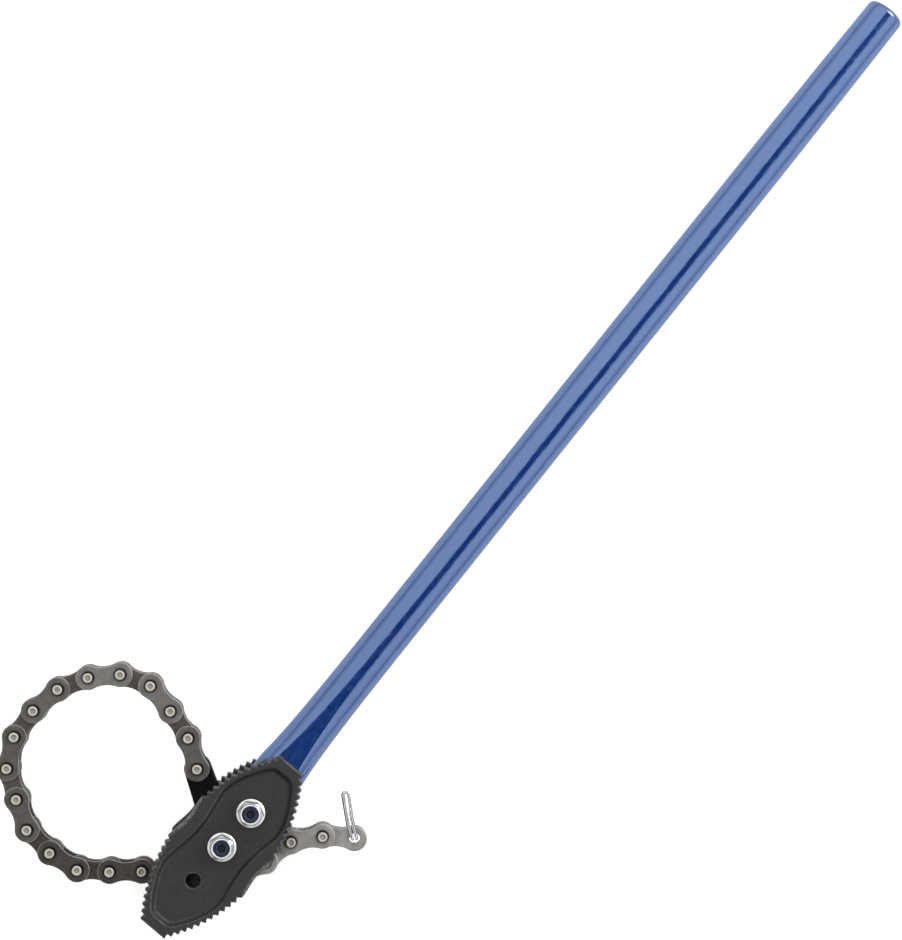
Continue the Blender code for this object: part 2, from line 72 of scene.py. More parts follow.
# Levels and places that the frame gives
OUTER_PLATE = levels("link_01_cover_plate")
INNER_PLATE = levels("link_02_cover_plate")
PIN_END = levels("link_01_pin_plate")[1]
JAW_LEVELS = levels("jaw_front")
NUT_LEVELS = levels("centre_nut")
INSERT_LEVELS = levels("centre_nut_insert")
SHACKLE_HALF = levels("shackle")[1]
HANDLE_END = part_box("handle")[1].x
PINS = [JOINTS[f"chain_pin_{number:02d}"]["pos_m"] for number in range(1, 23)]
PINS.append(JOINTS["cotter_swing"]["pos_m"])
LINKS = len(PINS) - 1
UPPER_BOLT = centre("upper_nut")
JAW_TILT = math.atan2(UPPER_BOLT[1], UPPER_BOLT[0])
BOLT_SPACING = math.hypot(*UPPER_BOLT)

# Handle
BAR_RADIUS = 12.5 * MM
END_RADIUS = 11.8 * MM
END_TAPER = 110.0 * MM
END_ROUNDING = 3.5 * MM
HEAD_RADIUS = 15.2 * MM
HEAD_LENGTH = 56.0 * MM
FLARE_DECAY = 25.0 * MM
HALF_HEAD = 12.5 * MM
FACET_EDGE = 0.5 * MM
EAR_RADIUS = 9.5 * MM
NOSE_RADIUS = 16.0 * MM
NOTCH_DEPTH = 1.6 * MM
LOBE_THICKNESS = 3.6 * MM
LOBE_START = math.radians(-70.0)
FORK_ROOT = 17.0 * MM
FORK_ROOT_SLOPE = 1.5
FORK_REACH = 30.0 * MM
GAP = 0.3 * MM

# Jaw plates
JAW_HALF_LENGTH = 62.5 * MM
JAW_TIP_HALF_WIDTH = 9.4 * MM
TOOTH_ARC_RADIUS = 100.0 * MM
TOOTH_START = 15.0 * MM
JAW_HALF_WIDTH = 28.3 * MM
JAW_WAIST_DEPTH = 1.6 * MM
TEETH_PER_ARC = 12
TOOTH_DEPTH = 2.25 * MM
FACE_BEVEL = 0.5 * MM
WAIST_BEVEL = 1.5 * MM
WAIST_BEVEL_RUN = 4.0 * MM
BACK_BEVEL = 0.3 * MM
PANEL_DEPTH = 2.2 * MM
PANEL_WALL_RUN = 2.3 * MM
BOLT_HOLE_RADIUS = 4.5 * MM
# Heading in plan of the light painted on the jaw panel's walls
PAINTED_LIGHT_HEADING = math.radians(-14.5)

# Chain
PITCH = 19.05 * MM
LINK_HEAD_RADIUS = 7.4 * MM
LINK_WAIST_HALF_WIDTH = 5.4 * MM
PLATE_ROUNDING = 0.55 * MM
PLATE_BORDER = 0.35 * MM
HOLE_ROUNDING = 0.2 * MM
PIN_RADIUS = 3.0 * MM
PIN_LUMPS = 0.012
BORE_RADIUS = 3.35 * MM
BUSH_RADIUS = 4.3 * MM

# Bolts and nuts
HEX_HALF_WIDTH = 6.5 * MM
COLLAR_RADIUS = 5.98 * MM
COLLAR_ROLL = 0.5 * MM
NUT_SIDES = 96

# Shackle
SHACKLE_HUB_RADIUS = 9.5 * MM
SHACKLE_END_RADIUS = 8.0 * MM
SHACKLE_ROUNDING = 1.1 * MM

# Split pin
WIRE_WIDTH = 2.1 * MM
WIRE_THICKNESS = 1.8 * MM
LONG_LEG = 28.0 * MM
SHORT_LEG = 19.0 * MM
EYE_LENGTH = 28.0 * MM
EYE_WIDTH = 5.4 * MM
EYE_SHIFT = 1.2 * MM
COTTER_HEADING = math.radians(48.0)

# Camera: the photograph's view, nearly straight down
CAMERA_PLACE = (0.2064, 0.0794, 1.8262)
CAMERA_TURN = (math.radians(0.338), math.radians(-2.177), math.radians(-51.350))
CAMERA_LENS = 115.78


def circle(radius, sides, spot=(0.0, 0.0), start=0.0):
    """Points of a circle, anticlockwise."""
    turns = [start + 2 * math.pi * step / sides for step in range(sides)]
    return [(spot[0] + radius * math.cos(turn), spot[1] + radius * math.sin(turn)) for turn in turns]


def arc(radius, start, end, steps, spot=(0.0, 0.0)):
    """Points of an arc with both its ends."""
    turns = [start + (end - start) * step / steps for step in range(steps + 1)]
    return [(spot[0] + radius * math.cos(turn), spot[1] + radius * math.sin(turn)) for turn in turns]


def inward(points):
    """Offsets to the inside of a closed anticlockwise outline, longer at corners."""
    spots = np.array(points)
    ahead = np.roll(spots, -1, axis=0) - spots
    ahead /= np.linalg.norm(ahead, axis=1)[:, None]
    left = np.stack([-ahead[:, 1], ahead[:, 0]], axis=1)
    before = np.roll(left, 1, axis=0)
    square = 1 + (left * before).sum(axis=1)
    return (left + before) / square[:, None]


class Shell:
    """Rings of points joined by faces, with a value at each point for wear and for painted light and shade.
    """

    def __init__(self):
        self.mesh = bmesh.new()
        self.wear = self.mesh.verts.layers.float.new("wear")

    def ring(self, points, height=None, wear=0.0):
        """A closed ring of points, in plan with a height or in space, with one value of wear and painted
        light or many.
        """
        verts = []
        for point, wear_and_painted_light_value in zip(points, np.broadcast_to(wear, (len(points),))):
            spot = point if height is None else (point[0], point[1], height)
            vert = self.mesh.verts.new(spot)
            vert[self.wear] = wear_and_painted_light_value
            verts.append(vert)
        return verts

    def bridge(self, lower, upper, slot=0):
        """A band of faces between two rings of as many points."""
        count = len(lower)
        for index in range(count):
            after = (index + 1) % count
            face = self.mesh.faces.new((lower[index], lower[after], upper[after], upper[index]))
            face.material_index = slot

    def wall(self, rings, slot=0):
        """Bands between rings one after another."""
        for lower, upper in zip(rings, rings[1:]):
            self.bridge(lower, upper, slot)

    def cap(self, *rings, slot=0):
        """A flat face inside the first ring and outside the others."""
        edges = []
        for verts in rings:
            for index, vert in enumerate(verts):
                after = verts[(index + 1) % len(verts)]
                found = self.mesh.edges.get((vert, after))
                edges.append(found or self.mesh.edges.new((vert, after)))
        if len(rings) == 1:
            self.mesh.faces.new(rings[0]).material_index = slot
            return
        filled = bmesh.ops.triangle_fill(self.mesh, use_beauty=True, edges=edges)
        for item in filled["geom"]:
            if isinstance(item, bmesh.types.BMFace):
                item.material_index = slot

    def finish(self, name):
        """The mesh, with its faces turned outwards."""
        bmesh.ops.recalc_face_normals(self.mesh, faces=self.mesh.faces)
        made = bpy.data.meshes.new(name)
        self.mesh.to_mesh(made)
        self.mesh.free()
        return made


def rounded(points, offsets, low, high, radius, steps=4):
    """(points, height, wear) of a plate's wall with both its edges rounded."""
    spots = np.array(points)
    rings = []
    turns = [math.pi / 2 * step / steps for step in range(steps + 1)]
    for turn in turns:
        inset, rise = radius * (1 - math.sin(turn)), radius * (1 - math.cos(turn))
        rings.append((spots + offsets * inset, low + rise, math.sin(2 * turn)))
    for turn in reversed(turns):
        inset, drop = radius * (1 - math.sin(turn)), radius * (1 - math.cos(turn))
        rings.append((spots + offsets * inset, high - drop, math.sin(2 * turn)))
    return rings


def add_plate(shell, outline, holes, low, high, radius, painted_shade=0.0):
    """A plate with rounded edges, and painted shade round its holes. A flat border keeps the wear to the
    edges.
    """
    walls = []
    offsets = inward(outline)
    rings = rounded(outline, offsets, low, high, radius)
    border = np.array(outline) + offsets * (radius + PLATE_BORDER)
    rings = [(border, low, 0.0)] + rings + [(border, high, 0.0)]
    walls.append([shell.ring(*ring) for ring in rings])
    for hole in holes:
        outwards = -inward(hole)
        lip = rounded(hole, outwards, low, high, HOLE_ROUNDING, 2)
        # Painted shade round the hole, strongest at its lip
        rings = [(spots, height, -painted_shade) for spots, height, _ in lip]
        for border, wear_and_painted_light_value in ((0.2 * MM, -0.8 * painted_shade), (1.1 * MM, 0.0)):
            spots = np.array(hole) + outwards * (HOLE_ROUNDING + border)
            rings = [(spots, low, wear_and_painted_light_value)] + rings + [(spots, high, wear_and_painted_light_value)]
        walls.append([shell.ring(*ring) for ring in rings])
    for wall in walls:
        shell.wall(wall)
    for end in (0, -1):
        shell.cap(*[wall[end] for wall in walls])


def add_ring(shell, profile, sides, spot=(0.0, 0.0)):
    """A ring turned round Z from the (height, radius) pairs of its closed section."""
    rings = [shell.ring(circle(radius, sides, spot), height) for height, radius in profile]
    shell.wall(rings)
    shell.bridge(rings[-1], rings[0])


def combined(mesh, other, operation):
    """The union of two meshes, or their difference."""
    base = bpy.data.objects.new("base", mesh)
    tool = bpy.data.objects.new("tool", other)
    for item in (base, tool):
        bpy.context.scene.collection.objects.link(item)
    modifier = base.modifiers.new("cut", "BOOLEAN")
    modifier.operation = operation
    modifier.solver = "EXACT"
    modifier.object = tool
    ready = base.evaluated_get(bpy.context.evaluated_depsgraph_get())
    result = bpy.data.meshes.new_from_object(ready)
    for item in (base, tool):
        bpy.data.objects.remove(item)
    return result


def piece(name, mesh, finishes, body, nodes, place=(0.0, 0.0, 0.0), turn=0.0, flip=False, sharp=32.0):
    """Put a piece on its body in place of its CAD nodes."""
    item = bpy.data.objects.new(name, mesh)
    bpy.context.scene.collection.objects.link(item)
    if not mesh.materials:
        for finish in finishes:
            mesh.materials.append(finish)
    mesh.shade_smooth()
    mesh.set_sharp_from_angle(angle=math.radians(sharp))
    item.location = place
    item.rotation_euler = (math.pi if flip else 0.0, 0.0, turn)
    weighted = item.modifiers.new("even shading", "WEIGHTED_NORMAL")
    weighted.keep_sharp = True
    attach(item, body)
    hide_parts(*nodes)
    return item


# Materials

def new_material(name):
    """A node material and its Principled shader."""
    made = bpy.data.materials.new(name)
    made.use_nodes = True
    return made, made.node_tree, made.node_tree.nodes["Principled BSDF"]


def add_node(tree, kind, values=None, **settings):
    """A node with its settings and socket values; a value may be another node's socket."""
    made = tree.nodes.new(kind)
    for key, value in settings.items():
        setattr(made, key, value)
    for key, value in (values or {}).items():
        if isinstance(value, bpy.types.NodeSocket):
            tree.links.new(value, made.inputs[key])
        else:
            made.inputs[key].default_value = value
    return made


def noise(tree, scale, detail=3.0, roughness=0.55, stretch=(1.0, 1.0, 1.0)):
    """Noise in the object's own coordinates, at so many features to a metre."""
    spot = add_node(tree, "ShaderNodeTexCoord")
    mapping = add_node(tree, "ShaderNodeMapping", {"Vector": spot.outputs["Object"], "Scale": stretch})
    texture = add_node(tree, "ShaderNodeTexNoise", {
        "Vector": mapping.outputs["Vector"], "Scale": scale, "Detail": detail, "Roughness": roughness})
    return texture.outputs["Fac"]


def ramp(tree, value, low, high, start=0.0, end=1.0):
    """A value spread from one range to another."""
    spread = add_node(tree, "ShaderNodeMapRange", {
        "Value": value, "From Min": low, "From Max": high, "To Min": start, "To Max": end})
    return spread.outputs["Result"]


def mixed(tree, share, first, second):
    """A colour between two, by a share."""
    mix = add_node(tree, "ShaderNodeMix", {"Factor": share}, data_type="RGBA")
    for socket, value in ((mix.inputs[6], first), (mix.inputs[7], second)):
        if isinstance(value, bpy.types.NodeSocket):
            tree.links.new(value, socket)
        else:
            socket.default_value = (*value, 1.0)
    return mix.outputs[2]


def arithmetic(tree, operation, first, second):
    """A sum, product or other result of two values."""
    made = add_node(tree, "ShaderNodeMath", operation=operation)
    for socket, value in zip(made.inputs, (first, second)):
        if isinstance(value, bpy.types.NodeSocket):
            tree.links.new(value, socket)
        else:
            socket.default_value = value
    return made.outputs[0]


def attribute(tree, name):
    """A value stored at the mesh's points."""
    return add_node(tree, "ShaderNodeAttribute", attribute_name=name).outputs["Fac"]


def bumped(tree, height, distance, under=None):
    """A normal raised by a height, over another bump's normal if there is one."""
    values = {"Height": height, "Distance": distance, "Strength": 1.0}
    if under is not None:
        values["Normal"] = under
    return add_node(tree, "ShaderNodeBump", values).outputs["Normal"]


def set_inputs(tree, shader, values):
    """Values or links on a shader's sockets."""
    for key, value in values.items():
        if isinstance(value, bpy.types.NodeSocket):
            tree.links.new(value, shader.inputs[key])
        else:
            shader.inputs[key].default_value = value


def blue_paint():
    """Glossy blue stove enamel with a fine orange peel, with painted shade round the rounding of the far end.
    """
    made, tree, shader = new_material("blue paint")
    cloud = noise(tree, 45.0, 3.0, 0.6)
    colour = mixed(tree, cloud, (0.0010, 0.023, 0.150), (0.0020, 0.032, 0.195))
    # Painted shade: the far end's rounding turns near black in place of a dark reflection
    colour = mixed(tree, attribute(tree, "wear"), colour, (0.002, 0.004, 0.012))
    peel = noise(tree, 520.0, 2.0, 0.5, (0.5, 1.0, 1.0))
    waves = noise(tree, 150.0, 2.0, 0.5, (0.4, 1.0, 1.0))
    normal = bumped(tree, waves, 0.12 * MM)
    normal = bumped(tree, peel, 0.05 * MM, normal)
    set_inputs(tree, shader, {
        "Base Color": colour, "Roughness": ramp(tree, peel, 0.3, 0.7, 0.12, 0.22),
        "IOR": 2.05, "Specular IOR Level": 1.0, "Specular Tint": (0.50, 0.68, 1.0, 1.0), "Normal": normal})
    return made


def jaw_steel():
    """Dark forged steel, matt and finely grained, worn lighter along its edges, with painted highlights and
    painted shade on the sunk panel's walls.
    """
    made, tree, shader = new_material("jaw steel")
    cloud = noise(tree, 60.0, 4.0, 0.6)
    grain = noise(tree, 1400.0, 3.0, 0.7)
    # Wear on the edges and teeth, and painted highlights along the panel's lip, lighten the steel
    wear_and_painted_light_value = arithmetic(tree, "MULTIPLY", attribute(tree, "wear"), ramp(tree, noise(tree, 350.0), 0.3, 0.7))
    body = mixed(tree, cloud, (0.012, 0.012, 0.014), (0.022, 0.022, 0.024))
    body = mixed(tree, ramp(tree, grain, 0.42, 0.75, 0.0, 0.6), body, (0.066, 0.066, 0.070))
    # Painted shade: negative values darken the sunk panel's walls
    painted_shade = arithmetic(tree, "MULTIPLY", attribute(tree, "wear"), -1.0)
    body = mixed(tree, painted_shade, body, (0.004, 0.004, 0.005))
    colour = mixed(tree, arithmetic(tree, "MULTIPLY", wear_and_painted_light_value, 0.75), body, (0.20, 0.20, 0.205))
    normal = bumped(tree, cloud, 0.2 * MM)
    normal = bumped(tree, grain, 0.08 * MM, normal)
    set_inputs(tree, shader, {
        "Base Color": colour, "Roughness": ramp(tree, grain, 0.3, 0.7, 0.42, 0.6),
        "Specular IOR Level": 0.4, "Metallic": arithmetic(tree, "MULTIPLY", wear_and_painted_light_value, 0.5), "Normal": normal})
    return made


def shackle_steel():
    """Black oxide on forged steel."""
    made, tree, shader = new_material("shackle steel")
    cloud = noise(tree, 120.0, 4.0, 0.6)
    wear_and_painted_light_value = arithmetic(tree, "MULTIPLY", attribute(tree, "wear"), 0.2)
    body = mixed(tree, cloud, (0.002, 0.002, 0.0022), (0.005, 0.005, 0.0055))
    colour = mixed(tree, wear_and_painted_light_value, body, (0.04, 0.04, 0.04))
    set_inputs(tree, shader, {
        "Base Color": colour, "Roughness": ramp(tree, cloud, 0.3, 0.7, 0.4, 0.6),
        "Specular IOR Level": 0.1, "Normal": bumped(tree, noise(tree, 900.0, 3.0), 0.04 * MM)})
    return made


def chain_plate():
    """Oiled grey-brown plate steel, with a tone and painted shade for each link, painted shade round the pin
    holes and bright rolled edges.
    """
    made, tree, shader = new_material("chain plate")
    cloud = noise(tree, 140.0, 4.0, 0.65)
    specks = noise(tree, 900.0, 3.0, 0.65)
    # Each link's tone, with painted shade on the links in the head's shadow
    tone = arithmetic(tree, "MULTIPLY", attribute(tree, "tone"), ramp(tree, cloud, 0.3, 0.7, 0.82, 1.2))
    body = mixed(tree, tone, (0.020, 0.015, 0.009), (0.78, 0.765, 0.74))
    rust = ramp(tree, noise(tree, 60.0, 2.0), 0.45, 0.75, 0.0, 0.25)
    body = mixed(tree, rust, body, (0.16, 0.115, 0.075))
    body = mixed(tree, ramp(tree, specks, 0.5, 0.8, 0.0, 0.3), body, (0.30, 0.28, 0.26))
    wear_and_painted_light_value = arithmetic(tree, "MULTIPLY", attribute(tree, "wear"), ramp(tree, cloud, 0.25, 0.6, 0.35, 1.0))
    # Painted shade: negative values darken the plates round the pins
    painted_shade = arithmetic(tree, "MULTIPLY", attribute(tree, "wear"), -0.85)
    body = mixed(tree, painted_shade, body, (0.010, 0.007, 0.005))
    colour = mixed(tree, arithmetic(tree, "MULTIPLY", wear_and_painted_light_value, 0.55), body, (0.50, 0.48, 0.45))
    normal = bumped(tree, cloud, 0.08 * MM)
    normal = bumped(tree, specks, 0.03 * MM, normal)
    set_inputs(tree, shader, {
        "Base Color": colour, "Metallic": 0.5,
        "Roughness": ramp(tree, cloud, 0.3, 0.7, 0.36, 0.5), "Normal": normal})
    return made


def chain_pin():
    """Bright steel of the riveted pins and bushes, with painted shade down the pins' sides and in their
    dimples.
    """
    made, tree, shader = new_material("chain pin")
    cloud = noise(tree, 500.0, 3.0, 0.6)
    body = mixed(tree, cloud, (0.45, 0.42, 0.36), (0.62, 0.585, 0.505))
    # Painted shade down the pins' sides and in their dimples
    colour = mixed(tree, attribute(tree, "wear"), body, (0.018, 0.014, 0.010))
    set_inputs(tree, shader, {
        "Base Color": colour, "Metallic": 0.2, "Roughness": ramp(tree, cloud, 0.3, 0.7, 0.3, 0.45),
        "Normal": bumped(tree, cloud, 0.04 * MM)})
    return made


def zinc():
    """Bright zinc plate, with painted highlights on the rolled collar and the flange's top and painted shade
    in its corners and on the hexagon.
    """
    made, tree, shader = new_material("zinc")
    cloud = noise(tree, 260.0, 3.0, 0.6)
    colour = mixed(tree, cloud, (0.44, 0.44, 0.45), (0.60, 0.60, 0.61))
    # Painted highlights where the values are positive
    colour = mixed(tree, attribute(tree, "wear"), colour, (0.95, 0.95, 0.96))
    # Painted shade where they are negative
    painted_zinc_shade = arithmetic(tree, "MULTIPLY", attribute(tree, "wear"), -1.0)
    colour = mixed(tree, painted_zinc_shade, colour, (0.07, 0.07, 0.075))
    set_inputs(tree, shader, {
        "Base Color": colour, "Metallic": 0.85, "Roughness": ramp(tree, cloud, 0.3, 0.7, 0.22, 0.34),
        "Normal": bumped(tree, noise(tree, 900.0), 0.01 * MM)})
    return made


def nylon():
    """Dark blue nylon."""
    made, tree, shader = new_material("nylon")
    cloud = noise(tree, 700.0, 3.0)
    set_inputs(tree, shader, {
        "Base Color": mixed(tree, cloud, (0.006, 0.008, 0.030), (0.012, 0.015, 0.050)),
        "Roughness": 0.42, "Normal": bumped(tree, cloud, 0.03 * MM)})
    return made


def bolt_steel():
    """Oily dark steel of the bolt's end."""
    made, tree, shader = new_material("bolt steel")
    cloud = noise(tree, 900.0, 3.0)
    set_inputs(tree, shader, {
        "Base Color": mixed(tree, cloud, (0.007, 0.008, 0.010), (0.022, 0.024, 0.028)),
        "Roughness": 0.5, "Specular IOR Level": 0.15,
        "Normal": bumped(tree, cloud, 0.05 * MM)})
    return made


def bright_wire():
    """Polished steel wire, with painted shade along its sides."""
    made, tree, shader = new_material("bright wire")
    cloud = noise(tree, 900.0, 3.0, 0.6, (0.2, 1.0, 1.0))
    colour = mixed(tree, cloud, (0.70, 0.70, 0.71), (0.86, 0.86, 0.87))
    # Painted shade darkens the wire towards its sides
    colour = mixed(tree, attribute(tree, "wear"), colour, (0.020, 0.020, 0.024))
    set_inputs(tree, shader, {
        "Base Color": colour, "Metallic": 0.95, "Roughness": ramp(tree, cloud, 0.3, 0.7, 0.12, 0.22),
        "Normal": bumped(tree, cloud, 0.01 * MM)})
    return made


# Handle

def handle_radius(along):
    """Radius of the bar without its flats."""
    if along <= HEAD_LENGTH:
        return HEAD_RADIUS
    bar = BAR_RADIUS
    taper = (along - (HANDLE_END - END_TAPER)) / END_TAPER
    if taper > 0:
        bar += (END_RADIUS - BAR_RADIUS) * taper
    return bar + (HEAD_RADIUS - BAR_RADIUS) * math.exp(-(along - HEAD_LENGTH) / FLARE_DECAY)


def handle_section(radius):
    """Points (y, z) round the bar, whose lines follow the edges of the two flats."""
    flat_steps, side_steps = 8, 40
    chord = math.sqrt(max(radius ** 2 - HALF_HEAD ** 2, 0.0))
    half = max(chord, GAP)
    edge = min(FACET_EDGE, 0.45 * half)
    inner = half - edge

    def top(y):
        return min(math.sqrt(radius ** 2 - y ** 2), HALF_HEAD)

    corner = math.acos(half / radius)
    last = corner - edge / radius
    side = arc(radius, -last, last, side_steps)
    flat = []
    for step in range(flat_steps + 1):
        y = inner - 2 * inner * step / flat_steps
        flat.append((y, top(y)))
    bend = ((flat[0][0] + side[-1][0]) / 4 + half / 2, (flat[0][1] + side[-1][1]) / 4 + top(half) / 2)
    upper = side + [bend] + flat + [(-bend[0], bend[1])]
    lower = [(-y, -z) for y, z in side] + [(-bend[0], -bend[1])]
    lower += [(-y, -z) for y, z in flat] + [(bend[0], -bend[1])]
    return upper + lower


def nose_outline(steps):
    """One lobe of the nose: a disc whose notches stand a chain pitch apart."""
    seat = NOSE_RADIUS + PIN_RADIUS - NOTCH_DEPTH + GAP
    step = 2 * math.asin(PITCH / 2 / seat)
    notch = PIN_RADIUS + GAP
    half_mouth = math.acos((NOSE_RADIUS ** 2 + seat ** 2 - notch ** 2) / (2 * NOSE_RADIUS * seat))
    points = []
    last = LOBE_START
    for spot in (math.pi - step, math.pi, math.pi + step):
        start, end = spot - half_mouth, spot + half_mouth
        points += arc(NOSE_RADIUS, last, start, steps)[:-1]
        x, y = hollow = (seat * math.cos(spot), seat * math.sin(spot))
        first = math.atan2(NOSE_RADIUS * math.sin(start) - y, NOSE_RADIUS * math.cos(start) - x)
        final = math.atan2(NOSE_RADIUS * math.sin(end) - y, NOSE_RADIUS * math.cos(end) - x)
        if final > first:
            final -= 2 * math.pi
        points += arc(notch, first, final, steps, hollow)[:-1]
        last = end
    return points


def prism(points, low, high):
    """A plain flat solid, for cutting and joining."""
    shell = Shell()
    lower, upper = shell.ring(points, low), shell.ring(points, high)
    shell.bridge(lower, upper)
    shell.cap(lower)
    shell.cap(upper)
    return shell.finish("prism")


def handle_mesh():
    """The forged handle: round bar, flared and flattened head, fork and nose."""
    shell = Shell()
    head_step, head_steps, bar_steps = 2.0 * MM, 80, 60
    stations = [head_step * step for step in range(head_steps)]
    bar_start = head_step * head_steps
    rounding_start = HANDLE_END - END_ROUNDING
    stations += [bar_start + (rounding_start - bar_start) * step / bar_steps for step in range(bar_steps + 1)]
    rings = []
    for along in stations:
        rings.append(shell.ring([(along, y, z) for y, z in handle_section(handle_radius(along))]))
    for inset, beyond in [(END_ROUNDING - x, y) for x, y in arc(END_ROUNDING, 0.0, math.pi / 2, 8)][1:]:
        section = handle_section(END_RADIUS - inset)
        # Painted shade round the far end's rounding, strongest midway round it
        wear_and_painted_light_value = 0.6 * math.sin(math.pi * beyond / END_ROUNDING)
        rings.append(shell.ring([(rounding_start + beyond, y, z) for y, z in section], wear=wear_and_painted_light_value))
    shell.wall(rings)
    shell.cap(rings[0])
    shell.cap(rings[-1])
    body = shell.finish("handle")
    body = combined(body, prism(nose_outline(10), -HALF_HEAD, HALF_HEAD), "UNION")
    beyond = NOSE_RADIUS * 1.5
    relief_half = HALF_HEAD - LOBE_THICKNESS
    ear = arc(EAR_RADIUS, math.pi / 2, 3 * math.pi / 2, 32)
    relief = [*ear, (0.0, -beyond), (-beyond, -beyond), (-beyond, beyond), (0.0, beyond)]
    body = combined(body, prism(relief, -relief_half, relief_half), "DIFFERENCE")
    mouth = FORK_ROOT + FORK_REACH / FORK_ROOT_SLOPE
    root = [(mouth, -FORK_REACH), (FORK_ROOT, 0.0), (mouth, FORK_REACH)]
    fork = [(-beyond, -FORK_REACH), *root, (-beyond, FORK_REACH)]
    body = combined(body, prism(fork, -SHACKLE_HALF - GAP, SHACKLE_HALF + GAP), "DIFFERENCE")
    for spot in ((0.0, 0.0), UPPER_BOLT):
        hole = prism(circle(BOLT_HOLE_RADIUS - GAP, 40, spot), -2 * HALF_HEAD, 2 * HALF_HEAD)
        body = combined(body, hole, "DIFFERENCE")
    return body


# Jaws

def tooth_depth(share):
    """Depth of a tooth's profile at a share of its pitch, with a rounded gullet and a worn tip."""
    slope = 2.35
    flank = slope * min(share, 1 - share) * 2 + 0.10
    rounding = 5.0
    return -math.log(math.exp(-rounding * flank) + math.exp(-rounding * TOOTH_DEPTH / MM)) / rounding * MM


def jaw_outline():
    """The crest line of a jaw and, at each point, how deep the outline lies below it."""
    tip = Vector((JAW_HALF_LENGTH, JAW_TIP_HALF_WIDTH))
    start = Vector((TOOTH_START, JAW_HALF_WIDTH))
    chord = start - tip
    across = Vector((-chord.y, chord.x)).normalized()
    hub = (tip + start) / 2 + across * math.sqrt(TOOTH_ARC_RADIUS ** 2 - (chord.length / 2) ** 2)
    first = math.atan2(tip.y - hub.y, tip.x - hub.x)
    last = math.atan2(start.y - hub.y, start.x - hub.x)
    shares = (0.0, 0.05, 0.2, 0.36, 0.43, 0.5, 0.57, 0.64, 0.8, 0.95)
    quarter = [(tip.x, tip.y, 0.0)]
    for tooth in range(TEETH_PER_ARC):
        for share in shares[1 if tooth == 0 else 0:]:
            turn = first + (last - first) * (tooth + share) / TEETH_PER_ARC
            x = hub.x + TOOTH_ARC_RADIUS * math.cos(turn)
            y = hub.y + TOOTH_ARC_RADIUS * math.sin(turn)
            quarter.append((x, y, tooth_depth(share)))
    quarter.append((start.x, start.y, 0.0))
    for step in range(1, 8):
        share = step / 8
        x = TOOTH_START * (1 - share)
        dip = JAW_WAIST_DEPTH * (1 - math.cos(math.pi * share)) / 2
        quarter.append((x, JAW_HALF_WIDTH - dip, 0.0))
    middle = [(0.0, JAW_HALF_WIDTH - JAW_WAIST_DEPTH, 0.0)]
    upper = quarter + middle + [(-x, y, depth) for x, y, depth in reversed(quarter)]
    whole = np.array(upper + [(-x, -y, depth) for x, y, depth in upper])
    return whole[:, :2], whole[:, 2]


def panel_outline():
    """The lip of the sunk panel, a smooth line with rounded corners."""
    knots = [
        (56.2, 0.0), (56.2, 3.6), (55.6, 6.4), (53.2, 9.2), (47.4, 13.4), (41.0, 17.0), (34.6, 19.8),
        (28.0, 21.4), (22.6, 21.2), (16.6, 20.2), (10.0, 19.1), (4.6, 18.5),
    ]
    quarter = [(x * MM, y * MM) for x, y in knots]
    upper = quarter + [(0.0, 18.4 * MM)] + [(-x, y) for x, y in reversed(quarter)]
    ring = upper + [(-x, -y) for x, y in upper[1:-1]]
    knots = [Vector(point) for point in ring]
    count, pieces, points = len(knots), 6, []
    for index in range(count):
        before, here, after, beyond = (knots[(index + shift) % count] for shift in (-1, 0, 1, 2))
        for step in range(pieces):
            t = step / pieces
            point = 0.5 * (2 * here + (after - before) * t
                           + (2 * before - 5 * here + 4 * after - beyond) * t ** 2
                           + (3 * here - before - 3 * after + beyond) * t ** 3)
            points.append((point.x, point.y))
    return points


